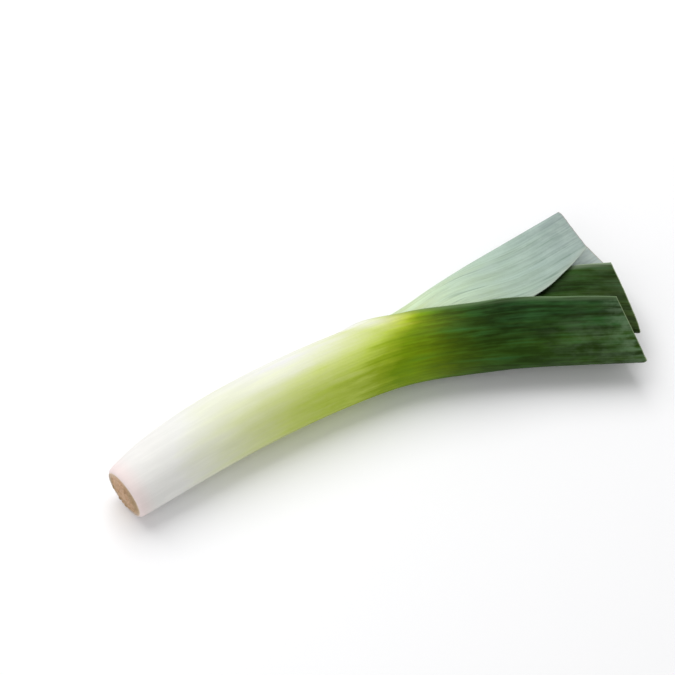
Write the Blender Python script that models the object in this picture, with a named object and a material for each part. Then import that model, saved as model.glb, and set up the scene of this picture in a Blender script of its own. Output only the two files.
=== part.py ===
"""A trimmed leek lying on its side, built from its separate leaves.

Every leaf is one piece. Its lower part, the sheath, is a closed tube wrapped round the leaves inside it. Its upper
part, the blade, is folded along the midrib. The blades leave the bundle on alternate sides and spread as a flat fan.
The sheaths nest in each other on the root plate, and together they make the pale shaft.
"""

import math
from dataclasses import dataclass

import bmesh
import bpy
import numpy as np

# Lengths are in metres. A station is a distance along the leek from its root end.

# Shaft
SHAFT_RADIUS = 0.0191
ROOT_END_RADIUS = 0.0144
ROOT_TAPER_LENGTH = 0.026
SHAFT_PATH = ((0.0, 4.5), (0.148, -12.0))
SHEATH_WALL = 0.0016
SHEATH_GAP = 0.0004
ROOT_LIP_ROUNDING = 0.0012
ROOT_LIP_LENGTH = 0.0022
INNER_SHEATHS_BEGIN = 0.0066

# The outermost sheath is pressed this deep into the surface below, which leaves a flat strip to rest on
SINK = 0.00035
LOWEST_INSIDE = 0.0007

# Blades
BLADE_WALL = 0.0011
MARGIN_WALL = 0.0008
MIDRIB_WALL = 0.0019
BLADE_ROW_STEP = 0.0095
HALF_COLUMNS = 11
MIDRIB_CROWDING = 0.3
WAVE_LENGTH = 0.07

# Rows that all the sheaths share, so that their facets lie parallel
SHEATH_ROWS = (0.0, 0.0006, 0.0022, 0.0066, 0.012, 0.020, 0.034, 0.055, 0.080, 0.105, 0.128, 0.146, 0.156)
LAST_ROW_CLEARANCE = 0.004

# Heart
HEART_RING = 4
HEART_TIP = 0.206
HEART_NARROWS_FROM = 0.150
HEART_TIP_THICKNESS = 0.0030
HEART_TIP_WIDTH = 0.0100
HEART_PATH = ((0.170, -11.0), (0.300, -9.0))
HEART_ROW_STEP = 0.008

# Root plate
PLATE_THICKNESS = 0.0060
PLATE_SHOULDER = 0.0022
PLATE_RECESS = 0.0004
PLATE_DOME = 0.0016
PLATE_GAP = 0.0004
PLATE_RINGS = 9
ROOT_STUBS = 16
ROOT_STUB_HEIGHT = 0.0007
ROOT_STUB_RADIUS = 0.0012
ROOT_STUB_RING = (0.0035, 0.0100)
ROOT_SEED = 4

# Materials
HEART_COLOUR = (0.66, 0.68, 0.30)
PLATE_COLOUR = (0.50, 0.34, 0.20)
ROUGHNESS = 0.45
SHARP_ANGLE = 50.0

# Fineness of the curves that the shapes are read from
SPINE_STEP = 0.001
SPINE_LENGTH = 0.34
SPINE_ROUNDING = 0.024
SECTION_STEPS = 72


@dataclass
class Leaf:
    """One leaf. Angles are in degrees, and a path's headings turn to the left."""
    name: str
    colour: tuple
    ring: int                 # 0 is the outermost sheath
    side: int                 # +1 has its midrib on the left, and -1 on the right
    mouth: float              # station where the sheath opens
    end: float                # station where the midrib is cut
    path: tuple               # (station, heading) beyond the shaft
    foot_widths: tuple        # the upper and the lower half's width where the notch ends
    cut_widths: tuple         # the upper and the lower half's width at the cut
    cut_slopes: tuple         # how far the cut runs back for each metre across the upper and the lower half
    notch: float              # length of the notch opposite the midrib
    unrolls: tuple            # stations between which the tube becomes a trough
    folds: tuple              # stations between which the trough becomes a fold
    crease: float             # half the arc round the fold
    leans: tuple              # how far the upper and the lower half lean away from the fold's plane
    taper: float = 1.0        # 1 narrows the blade evenly, and more narrows it mostly near the cut
    rise: float = 0.0         # of the fold's plane above the shaft's axis
    wave: float = 0.0         # height of the margins' waves
    wave_phase: float = 0.0
    begins: float = INNER_SHEATHS_BEGIN


LEAVES = (
    Leaf("outer_leaf", (0.20, 0.33, 0.07), ring=0, side=-1, mouth=0.134, end=0.2955,
         path=((0.162, -18.0), (0.185, -26.0), (0.210, -30.5), (0.240, -33.0), (0.300, -33.5)),
         foot_widths=(0.0425, 0.0425), cut_widths=(0.0355, 0.0355), cut_slopes=(0.42, 0.42), notch=0.036,
         unrolls=(0.134, 0.186), folds=(0.196, 0.250), crease=0.012, leans=(27.0, 27.0), rise=-0.001,
         wave=0.0005, begins=0.0),
    Leaf("second_leaf", (0.45, 0.55, 0.44), ring=1, side=1, mouth=0.142, end=0.2892,
         path=((0.160, -9.0), (0.180, 4.2), (0.200, 3.9), (0.240, -1.1), (0.300, -0.9)),
         foot_widths=(0.0465, 0.041), cut_widths=(0.0332, 0.0435), cut_slopes=(0.145, -0.22), notch=0.034,
         unrolls=(0.146, 0.202), folds=(0.190, 0.260), crease=0.011, leans=(2.0, 22.0), taper=3.6, rise=0.002,
         wave=0.0004, wave_phase=1.0),
    Leaf("third_leaf", (0.07, 0.17, 0.04), ring=2, side=-1, mouth=0.151, end=0.298,
         path=((0.170, -12.0), (0.200, -18.0), (0.240, -27.0), (0.300, -38.5)),
         foot_widths=(0.033, 0.033), cut_widths=(0.044, 0.044), cut_slopes=(0.30, 0.30), notch=0.036,
         unrolls=(0.151, 0.210), folds=(0.182, 0.250), crease=0.009, leans=(3.0, 1.0),
         wave=0.0003, wave_phase=2.0),
    Leaf("fourth_leaf", (0.32, 0.45, 0.22), ring=3, side=1, mouth=0.160, end=0.272,
         path=((0.170, -8.0), (0.195, -5.0), (0.230, 0.0), (0.300, 3.0)),
         foot_widths=(0.030, 0.030), cut_widths=(0.026, 0.026), cut_slopes=(0.10, 0.10), notch=0.036,
         unrolls=(0.164, 0.205), folds=(0.182, 0.235), crease=0.005, leans=(1.0, 1.0), rise=-0.0005),
)


def smooth(x):
    """Runs from 0 to 1 as x does, level at both ends."""
    x = np.clip(x, 0.0, 1.0)
    return x * x * (3.0 - 2.0 * x)


def between(s, span):
    """How far s has come through a span of stations, from 0 to 1."""
    return float(smooth((s - span[0]) / (span[1] - span[0])))


def shaft_radius(s):
    """Outer radius of the outermost sheath."""
    return SHAFT_RADIUS - (SHAFT_RADIUS - ROOT_END_RADIUS) * np.exp(-np.asarray(s, float) / ROOT_TAPER_LENGTH)


def ring_radius(ring, s):
    """Outer radius of a nested sheath."""
    return shaft_radius(s) - ring * (SHEATH_WALL + SHEATH_GAP)


class Spine:
    """A leaf's centre line. Its bends are those of the shaft and then of the path, rounded off."""

    def __init__(self, path):
        self.s = np.arange(-0.02, SPINE_LENGTH, SPINE_STEP)
        stations, degrees = zip(*SHAFT_PATH, *path)
        heading = np.radians(np.interp(self.s, stations, degrees))
        reach = round(SPINE_ROUNDING / SPINE_STEP / 2)
        heading = np.pad(heading, reach, mode="edge")
        self.heading = np.convolve(heading, np.ones(2 * reach + 1) / (2 * reach + 1), "valid")
        middle = (self.heading[1:] + self.heading[:-1]) / 2
        self.x = np.concatenate([[0.0], np.cumsum(np.cos(middle)) * SPINE_STEP])
        self.y = np.concatenate([[0.0], np.cumsum(np.sin(middle)) * SPINE_STEP])
        self.x -= np.interp(0.0, self.s, self.x)
        self.y -= np.interp(0.0, self.s, self.y)

    def at(self, s):
        """Points of the line, and its headings there."""
        return np.interp(s, self.s, self.x), np.interp(s, self.s, self.y), np.interp(s, self.s, self.heading)


def half_section(leaf, s, half, share):
    """Half a cross-section, from the midrib to a margin: points, outward directions and wall.

    half is 0 for the upper half and 1 for the lower. share is each point's place between the midrib, 0, and the
    margin, 1. A point is given as its distance from the centre line towards the midrib, and its height.
    """
    radius = float(ring_radius(leaf.ring, s))
    past = s - leaf.mouth
    unrolled, folded = between(s, leaf.unrolls), between(s, leaf.folds)
    notched = 1.0 - (1.0 - min(max(past / leaf.notch, 0.0), 1.0)) ** 2
    along = min(max(past / (leaf.end - leaf.mouth), 0.0), 1.0)
    blade = leaf.foot_widths[half] + (leaf.cut_widths[half] - leaf.foot_widths[half]) * along ** leaf.taper
    width = math.pi * radius * (1.0 - notched) + blade * notched

    quarter = radius * math.pi / 2
    bend = quarter + (leaf.crease - quarter) * folded
    total = math.pi / 2 - math.radians(leaf.leans[half]) * folded
    d = np.linspace(0.0, width, SECTION_STEPS + 1)
    u = np.clip(d / bend, 0.0, 1.0)
    turned = total * (u + u * (1.0 - u) * folded)
    turning = (1.0 - unrolled) * d / radius + unrolled * turned
    middle = (turning[1:] + turning[:-1]) / 2
    step = width / SECTION_STEPS
    to_midrib = radius - np.concatenate([[0.0], np.cumsum(np.sin(middle)) * step])
    height = np.concatenate([[0.0], np.cumsum(np.cos(middle)) * step])

    to_midrib, height, turning = (np.interp(share * width, d, v) for v in (to_midrib, height, turning))
    sign = 1 - 2 * half
    wave = leaf.wave * unrolled * share ** 2 * math.sin(2 * math.pi * s / WAVE_LENGTH + leaf.wave_phase + sign)
    points = np.stack([to_midrib, sign * height + wave], axis=1)
    outward = np.stack([np.cos(turning), sign * np.sin(turning)], axis=1)
    blade_wall = np.interp(share, (0.0, 0.12, 0.4, 1.0), (MIDRIB_WALL, BLADE_WALL, BLADE_WALL, MARGIN_WALL))
    return points, outward, SHEATH_WALL + (blade_wall - SHEATH_WALL) * unrolled


def leaf_rows(leaf):
    """Outer and inner points of every row, from the lower margin over the midrib to the upper margin.

    The first rows are the closed sheath's, and their number is returned too.
    """
    spine = Spine(leaf.path)
    closed = [s for s in SHEATH_ROWS if leaf.begins <= s < leaf.mouth - LAST_ROW_CLEARANCE] + [leaf.mouth]
    count = round((leaf.end - leaf.mouth) / BLADE_ROW_STEP)
    opened = [leaf.mouth + (leaf.end - leaf.mouth) * k / count for k in range(1, count + 1)]
    even = np.arange(HALF_COLUMNS + 1) / HALF_COLUMNS
    outer, inner = [], []
    for s in closed + opened:
        along = max(s - leaf.mouth, 0.0) / (leaf.end - leaf.mouth)
        share = even ** (1.0 + MIDRIB_CROWDING * along)
        halves_out, halves_in = [], []
        for half in (1, 0):
            flat, outward, wall = half_section(leaf, s, half, share)
            here = s - leaf.cut_slopes[half] * leaf.cut_widths[half] * share * along ** 2
            x, y, heading = spine.at(here)
            axis_height = shaft_radius(here) - SINK + leaf.rise * between(s, leaf.folds)
            side_x, side_y = -leaf.side * np.sin(heading), leaf.side * np.cos(heading)
            point = np.stack([x + side_x * flat[:, 0], y + side_y * flat[:, 0], axis_height + flat[:, 1]], axis=1)
            out = np.stack([side_x * outward[:, 0], side_y * outward[:, 0], outward[:, 1]], axis=1)
            lip = ROOT_LIP_ROUNDING * max(1.0 - s / ROOT_LIP_LENGTH, 0.0) ** 2 if leaf.ring == 0 else 0.0
            surface = point - out * lip
            inside = point - out * wall[:, None]
            surface[:, 2] = surface[:, 2].clip(min=0.0)
            inside[:, 2] = inside[:, 2].clip(min=LOWEST_INSIDE)
            halves_out.append(surface)
            halves_in.append(inside)
        outer.append(np.concatenate([halves_out[0][:0:-1], halves_out[1]]))
        inner.append(np.concatenate([halves_in[0][:0:-1], halves_in[1]]))
    return outer, inner, len(closed)


def finish(bm, name, colour, parent):
    """Turns closed bmesh work into a named object with its own material."""
    bmesh.ops.recalc_face_normals(bm, faces=bm.faces)
    mesh = bpy.data.meshes.new(name)
    bm.to_mesh(mesh)
    bm.free()
    mesh.shade_smooth()
    mesh.set_sharp_from_angle(angle=math.radians(SHARP_ANGLE))
    material = bpy.data.materials.new(name)
    material.use_nodes = True
    shader = material.node_tree.nodes["Principled BSDF"]
    shader.inputs["Base Color"].default_value = (*colour, 1.0)
    shader.inputs["Roughness"].default_value = ROUGHNESS
    shader.inputs["Metallic"].default_value = 0.0
    mesh.materials.append(material)
    obj = bpy.data.objects.new(name, mesh)
    bpy.context.scene.collection.objects.link(obj)
    obj.parent = parent
    return obj


def add_grid(bm, rows, closed_rows):
    """Vertices of the rows. In the closed rows the last point is the first one again."""
    grid = []
    for i, row in enumerate(rows):
        made = [bm.verts.new(p) for p in row[:-1]]
        made.append(made[0] if i < closed_rows else bm.verts.new(row[-1]))
        grid.append(made)
    return grid


def add_split(bm, a, b, c, d):
    """A four-cornered patch as two triangles that meet on the line from a to c."""
    bm.faces.new((a, b, c))
    bm.faces.new((a, c, d))


def add_cap(bm, loop):
    """Closes a ring of vertices with triangles round its middle."""
    middle = bm.verts.new(np.mean([v.co for v in loop], axis=0))
    for k, vert in enumerate(loop):
        bm.faces.new((vert, loop[(k + 1) % len(loop)], middle))


def build_leaf(leaf, parent):
    """A leaf as one closed solid: its outer and inner faces, the margins' rims and the two ends."""
    outer, inner, closed_rows = leaf_rows(leaf)
    last, midrib, margin = len(outer) - 1, HALF_COLUMNS, 2 * HALF_COLUMNS
    bm = bmesh.new()
    out, ins = add_grid(bm, outer, closed_rows), add_grid(bm, inner, closed_rows)
    for i in range(last):
        for j in range(margin):
            for face in (out, ins):
                corners = (face[i][j], face[i + 1][j], face[i + 1][j + 1], face[i][j + 1])
                if j < midrib:
                    corners = corners[1:] + corners[:1]
                add_split(bm, *corners)
        if i >= closed_rows - 1:
            for j in (0, margin):
                add_split(bm, out[i][j], out[i + 1][j], ins[i + 1][j], ins[i][j])
    for i in (0, last):
        for j in range(margin):
            add_split(bm, out[i][j], out[i][j + 1], ins[i][j + 1], ins[i][j])
    return finish(bm, leaf.name, leaf.colour, parent)


def build_heart(parent):
    """The youngest leaves, still rolled tight: a round roll in the shaft that ends as a flat, narrow tip."""
    spine = Spine(HEART_PATH)
    sides = 2 * HALF_COLUMNS
    angles = 2 * math.pi * np.arange(sides) / sides
    stations = [s for s in SHEATH_ROWS if INNER_SHEATHS_BEGIN <= s < HEART_NARROWS_FROM]
    count = round((HEART_TIP - HEART_NARROWS_FROM) / HEART_ROW_STEP)
    stations += [HEART_NARROWS_FROM + (HEART_TIP - HEART_NARROWS_FROM) * k / count for k in range(count + 1)]
    bm = bmesh.new()
    loops = []
    for s in stations:
        narrowed = between(s, (HEART_NARROWS_FROM, HEART_TIP))
        radius = float(ring_radius(HEART_RING, s))
        half_height = radius + (HEART_TIP_THICKNESS / 2 - radius) * narrowed
        half_width = radius + (HEART_TIP_WIDTH / 2 - radius) * narrowed ** 2
        x, y, heading = spine.at(s)
        height = float(shaft_radius(s)) - SINK
        loop = []
        for angle in angles:
            aside = half_width * math.cos(angle)
            loop.append(bm.verts.new((x - math.sin(heading) * aside, y + math.cos(heading) * aside,
                                      height + half_height * math.sin(angle))))
        loops.append(loop)
    for low, high in zip(loops, loops[1:]):
        for k in range(sides):
            add_split(bm, low[k], high[k], high[(k + 1) % sides], low[(k + 1) % sides])
    add_cap(bm, loops[0])
    add_cap(bm, loops[-1])
    return finish(bm, "heart_leaves", HEART_COLOUR, parent)


def root_stubs():
    """Places of the trimmed roots on the plate's face, evenly scattered round it."""
    rng = np.random.default_rng(ROOT_SEED)
    golden = math.pi * (3.0 - math.sqrt(5.0))
    low, high = ROOT_STUB_RING
    radii = np.sqrt(np.linspace(low ** 2, high ** 2, ROOT_STUBS)) + rng.uniform(-0.0004, 0.0004, ROOT_STUBS)
    turns = golden * np.arange(ROOT_STUBS) + rng.uniform(-0.25, 0.25, ROOT_STUBS)
    return np.stack([radii * np.cos(turns), radii * np.sin(turns)], axis=1)


def build_root_plate(parent):
    """The root plate: a domed disc that fills the end of the outermost sheath, with the stubs of its roots."""
    spine = Spine(HEART_PATH)
    stubs = root_stubs()
    sides = 2 * HALF_COLUMNS
    angles = 2 * math.pi * np.arange(sides) / sides

    def edge_radius(s):
        return float(ring_radius(0, s)) - SHEATH_WALL - PLATE_GAP

    def place(s, aside, up):
        x, y, heading = (float(v) for v in spine.at(s))
        height = float(shaft_radius(max(s, 0.0))) - SINK
        return x - math.sin(heading) * aside, y + math.cos(heading) * aside, height + up

    bm = bmesh.new()
    loops = []
    for k in range(1, PLATE_RINGS + 1):
        part = k / PLATE_RINGS
        loop = []
        for angle in angles:
            aside, up = (edge_radius(PLATE_RECESS) * part * f(angle) for f in (math.cos, math.sin))
            near = ((stubs - (aside, up)) ** 2).sum(axis=1)
            raised = ROOT_STUB_HEIGHT * float(np.exp(-near / ROOT_STUB_RADIUS ** 2).max())
            loop.append(bm.verts.new(place(PLATE_RECESS - PLATE_DOME * (1.0 - part ** 2) - raised, aside, up)))
        loops.append(loop)
    for s in (PLATE_SHOULDER, PLATE_THICKNESS):
        loops.append([bm.verts.new(place(s, edge_radius(s) * math.cos(a), edge_radius(s) * math.sin(a)))
                      for a in angles])
    for low, high in zip(loops, loops[1:]):
        for k in range(sides):
            add_split(bm, low[k], high[k], high[(k + 1) % sides], low[(k + 1) % sides])
    add_cap(bm, loops[0])
    add_cap(bm, loops[-1])
    return finish(bm, "root_plate", PLATE_COLOUR, parent)


def main():
    for obj in list(bpy.data.objects):
        bpy.data.objects.remove(obj)
    leek = bpy.data.objects.new("leek", None)
    bpy.context.scene.collection.objects.link(leek)
    pieces = [build_leaf(leaf, leek) for leaf in LEAVES]
    pieces.append(build_heart(leek))
    pieces.append(build_root_plate(leek))
    corners = np.array([v.co for piece in pieces for v in piece.data.vertices])
    middle = (corners.min(axis=0) + corners.max(axis=0)) / 2
    leek.location = (-middle[0], -middle[1], 0.0)


main()
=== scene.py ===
"""The looks of a trimmed leek that lies on its side.

Each CAD node is replaced by a finer mesh of the same shape, with rounded margins, fine ribs and cut faces. Its
materials follow the leaf: stations run along it, and arcs run across it from the midrib.
"""

import math
from dataclasses import dataclass

import bmesh
import bpy
import numpy as np
from mathutils import Matrix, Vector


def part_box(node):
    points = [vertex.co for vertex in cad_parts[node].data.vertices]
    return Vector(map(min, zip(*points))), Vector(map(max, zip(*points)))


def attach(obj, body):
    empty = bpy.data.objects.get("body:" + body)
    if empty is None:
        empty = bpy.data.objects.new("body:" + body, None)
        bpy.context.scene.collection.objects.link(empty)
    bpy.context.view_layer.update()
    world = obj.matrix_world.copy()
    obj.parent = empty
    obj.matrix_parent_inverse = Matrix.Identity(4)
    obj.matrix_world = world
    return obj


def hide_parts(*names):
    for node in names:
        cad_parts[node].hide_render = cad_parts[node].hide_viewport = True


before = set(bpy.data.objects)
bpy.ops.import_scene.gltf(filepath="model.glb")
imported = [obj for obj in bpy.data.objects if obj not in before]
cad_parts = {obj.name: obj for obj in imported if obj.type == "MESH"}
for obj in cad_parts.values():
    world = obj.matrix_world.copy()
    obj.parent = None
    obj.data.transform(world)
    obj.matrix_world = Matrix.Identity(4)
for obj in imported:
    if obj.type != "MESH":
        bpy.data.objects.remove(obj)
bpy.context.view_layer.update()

# Lengths are in metres, except in the materials. A station is a distance along the leek from its root end.

# The CAD part's own shape
SHAFT_RADIUS = 0.0191
ROOT_END_RADIUS = 0.0144
ROOT_TAPER_LENGTH = 0.026
SHAFT_PATH = ((0.0, 4.5), (0.148, -12.0))
SHEATH_WALL = 0.0016
SHEATH_GAP = 0.0004
ROOT_LIP_ROUNDING = 0.0012
ROOT_LIP_LENGTH = 0.0022
INNER_SHEATHS_BEGIN = 0.0066
SINK = 0.00035
LOWEST_INSIDE = 0.0007
BLADE_WALL = 0.0011
MARGIN_WALL = 0.0008
MIDRIB_WALL = 0.0019
WALL_SHARES = (0.0, 0.12, 0.4, 1.0)  # from the midrib to a margin, with the blade's own wall between the middle two
WAVE_LENGTH = 0.07
MIDRIB_CROWDING = 0.3
SPINE_STEP = 0.001
SPINE_START = -0.02
SPINE_LENGTH = 0.34
SPINE_ROUNDING = 0.024
SECTION_STEPS = 240
HEART_RING = 4
HEART_TIP = 0.206
HEART_NARROWS_FROM = 0.150
HEART_TIP_THICKNESS = 0.0030
HEART_TIP_WIDTH = 0.0100
HEART_PATH = ((0.170, -11.0), (0.300, -9.0))
PLATE_THICKNESS = 0.0060
PLATE_SHOULDER = 0.0022
PLATE_RECESS = 0.0004
PLATE_DOME = 0.0016
PLATE_GAP = 0.0001
ROOT_STUBS = 16
ROOT_STUB_HEIGHT = 0.0007
ROOT_STUB_RADIUS = 0.0012
ROOT_STUB_RING = (0.0035, 0.0100)
ROOT_SEED = 4

# Fineness of the meshes
HALF_COLUMNS = 60
LAST_COLUMN = 0.4                    # width of the column at a margin, as a share of an even one
SHEATH_ROW_STEP = 0.0022
BLADE_ROW_STEP = 0.0016
LAST_ROW = 0.0003                    # length of the row at the cut
LIP_ROWS = (0.0, 0.0003, 0.0007, 0.0012, 0.0022)
HEART_SIDES = 96
HEART_ROLL_ROWS = 60
HEART_TIP_ROWS = 40
HEART_END_RINGS = ((1.0, 0.7), (0.7, 0.35))
PLATE_SIDES = 160
PLATE_RINGS = 54
PLATE_ROWS = (PLATE_RECESS, 0.0012, PLATE_SHOULDER, 0.004, PLATE_THICKNESS)
SHARP_ANGLE = 40.0                   # degrees

# Low relief of the blades. A rise says where it starts and over what length it comes up.
RIBS = ((0.00007, 0.0052, 0.9), (0.00005, 0.0031, -0.7), (0.00006, 0.0085, 0.5))      # height, spacing, drift
RIB_DRIFT_LENGTH = 0.1               # length in which a rib drifts sideways by its drift, counted in spacings
DENTS = ((0.00012, 0.050, 0.041), (0.00009, -0.036, 0.027), (0.00008, 0.090, 0.019))  # height, and spacings
RELIEF_RISE = (0.02, 0.05)           # beyond the mouth
RIBS_RISE = (0.05, 0.1)              # across a half, as shares of its width
DENTS_RISE = (0.1, 0.4)
RING_PHASE = 1.7                     # shifts the relief from leaf to leaf
UNDERSIDE_RELIEF = 0.5               # what is left of the relief on the half that faces the table
UNDERSIDE_INSET = 0.0001
MARGIN_THINNING = 0.45
MARGIN_BAND = 0.0016
THINNING_LENGTH = 0.02
RIM_BULGE = 0.45                     # as a share of the wall

# Low relief of the heart and of the root plate
HEART_GROOVES = ((1.9, 0.05), (-1.1, 0.04), (0.35, 0.03))    # turn, and depth as a share of the radius
GROOVES_RISE = (0.03, 0.05)
GROOVE_WIDTH = 0.07                  # radians
GROOVE_TWIST = 9                     # radians in a metre
HEART_RIDGES = 17
HEART_RIDGE_DEPTH = 0.012            # as a share of the radius
STUB_SCATTER = 0.0004
STUB_TURN_SCATTER = 0.25
STUB_EDGE = (0.55, 0.5)              # as shares of the stub's radius
STUB_DISH = 0.25
STUB_DISH_RADIUS = 0.5
GRAIN_WAVES = 8
GRAIN_HEIGHT = 0.00006
GRAIN_FINENESS = 1500                # radians in a metre
CREASE_HEIGHT = 0.00010
CREASE_FINENESS = 26                 # radians from the middle to the edge

# Slots of the meshes
SKIN, INSIDE, CUT, ROOT_END = range(4)
HEART_SKIN, HEART_CUT = range(2)
PLATE_FACE, PLATE_SIDE = range(2)

# The maps. Across a rim, a cut or the root end, the coordinate runs this far to either side of zero.
RIM_REACH = 0.0004
CUT_REACH = 0.0005
ROOT_END_REACH = 0.0008
NO_EDGE = 0.05                       # distance given where no margin or cut is near
HEART_MAP_RADIUS = 0.009
HEART_END_MAP_RADIUS = 0.01
PLATE_MAP_RADIUS = 0.012

# The bake's map. A base is where a strip's middle line or a disc's middle lies on it.
BAKE_SPAN = 0.31                     # metres that the map covers from side to side
BAKE_MARGIN = 0.01
BAKE_SHARE = 0.97
DISC_SPAN = 0.16
DISC_MIDDLE = 0.12
OUTER_BASE, INNER_BASE = 0.20, 0.60
RIM_BASES = (0.83, 0.84)
CUT_BASE, ROOT_END_BASE = 0.86, 0.88
CUT_SHIFT = 0.07                     # keeps the arcs before the midrib inside the map
HEART_BASE, HEART_END_BASES = 0.15, (0.7, 0.85)
PLATE_FACE_BASE, PLATE_SIDE_BASE, PLATE_BACK_BASE = 0.2, 0.45, 0.75


@dataclass
class Leaf:
    """One leaf. Angles are in degrees, and a path's headings turn to the left."""
    name: str
    ring: int                 # 0 is the outermost sheath
    side: int                 # +1 has its midrib on the left, and -1 on the right
    mouth: float              # station where the sheath opens
    end: float                # station where the midrib is cut
    path: tuple               # (station, heading) beyond the shaft
    foot_widths: tuple        # the upper and the lower half's width where the notch ends
    cut_widths: tuple         # the upper and the lower half's width at the cut
    cut_slopes: tuple         # how far the cut runs back for each metre across the upper and the lower half
    notch: float              # length of the notch opposite the midrib
    unrolls: tuple            # stations between which the tube becomes a trough
    folds: tuple              # stations between which the trough becomes a fold
    crease: float             # half the arc round the fold
    leans: tuple              # how far the upper and the lower half lean away from the fold's plane
    taper: float = 1.0        # 1 narrows the blade evenly, and more narrows it mostly near the cut
    rise: float = 0.0         # of the fold's plane above the shaft's axis
    wave: float = 0.0         # height of the margins' waves
    wave_phase: float = 0.0
    begins: float = INNER_SHEATHS_BEGIN


LEAVES = (
    Leaf("outer_leaf", ring=0, side=-1, mouth=0.134, end=0.2955,
         path=((0.162, -18.0), (0.185, -26.0), (0.210, -30.5), (0.240, -33.0), (0.300, -33.5)),
         foot_widths=(0.0425, 0.0425), cut_widths=(0.0355, 0.0355), cut_slopes=(0.42, 0.42), notch=0.036,
         unrolls=(0.134, 0.186), folds=(0.196, 0.250), crease=0.012, leans=(27.0, 27.0), rise=-0.001,
         wave=0.0005, begins=0.0),
    Leaf("second_leaf", ring=1, side=1, mouth=0.142, end=0.2892,
         path=((0.160, -9.0), (0.180, 4.2), (0.200, 3.9), (0.240, -1.1), (0.300, -0.9)),
         foot_widths=(0.0465, 0.041), cut_widths=(0.0332, 0.0435), cut_slopes=(0.145, -0.22), notch=0.034,
         unrolls=(0.146, 0.202), folds=(0.190, 0.260), crease=0.011, leans=(2.0, 22.0), taper=3.6, rise=0.002,
         wave=0.0004, wave_phase=1.0),
    Leaf("third_leaf", ring=2, side=-1, mouth=0.151, end=0.298,
         path=((0.170, -12.0), (0.200, -18.0), (0.240, -27.0), (0.300, -38.5)),
         foot_widths=(0.033, 0.033), cut_widths=(0.044, 0.044), cut_slopes=(0.30, 0.30), notch=0.036,
         unrolls=(0.151, 0.210), folds=(0.182, 0.250), crease=0.009, leans=(3.0, 1.0),
         wave=0.0003, wave_phase=2.0),
    Leaf("fourth_leaf", ring=3, side=1, mouth=0.160, end=0.272,
         path=((0.170, -8.0), (0.195, -5.0), (0.230, 0.0), (0.300, 3.0)),
         foot_widths=(0.030, 0.030), cut_widths=(0.026, 0.026), cut_slopes=(0.10, 0.10), notch=0.036,
         unrolls=(0.164, 0.205), folds=(0.182, 0.235), crease=0.005, leans=(1.0, 1.0), rise=-0.0005),
)


def smooth(x):
    """Runs from 0 to 1 as x does, level at both ends."""
    x = np.clip(x, 0.0, 1.0)
    return x * x * (3.0 - 2.0 * x)


def between(s, span):
    """How far s has come through a span of stations, from 0 to 1."""
    return float(smooth((s - span[0]) / (span[1] - span[0])))


def rising(x, start, length):
    """Runs smoothly from 0 to 1 over a length from a start."""
    return smooth((x - start) / length)


def shaft_radius(s):
    """Outer radius of the outermost sheath."""
    return SHAFT_RADIUS - (SHAFT_RADIUS - ROOT_END_RADIUS) * np.exp(-np.asarray(s, float) / ROOT_TAPER_LENGTH)


def ring_radius(ring, s):
    """Outer radius of a nested sheath."""
    return shaft_radius(s) - ring * (SHEATH_WALL + SHEATH_GAP)


class Spine:
    """A leaf's centre line. Its bends are those of the shaft and then of the path, rounded off."""

    def __init__(self, path):
        self.s = np.arange(SPINE_START, SPINE_LENGTH, SPINE_STEP)
        stations, degrees = zip(*SHAFT_PATH, *path)
        heading = np.radians(np.interp(self.s, stations, degrees))
        reach = round(SPINE_ROUNDING / SPINE_STEP / 2)
        heading = np.pad(heading, reach, mode="edge")
        self.heading = np.convolve(heading, np.ones(2 * reach + 1) / (2 * reach + 1), "valid")
        middle = (self.heading[1:] + self.heading[:-1]) / 2
        self.x = np.concatenate([[0.0], np.cumsum(np.cos(middle)) * SPINE_STEP])
        self.y = np.concatenate([[0.0], np.cumsum(np.sin(middle)) * SPINE_STEP])
        self.x -= np.interp(0.0, self.s, self.x)
        self.y -= np.interp(0.0, self.s, self.y)

    def at(self, s):
        """Points of the line, and its headings there."""
        return np.interp(s, self.s, self.x), np.interp(s, self.s, self.y), np.interp(s, self.s, self.heading)


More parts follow.
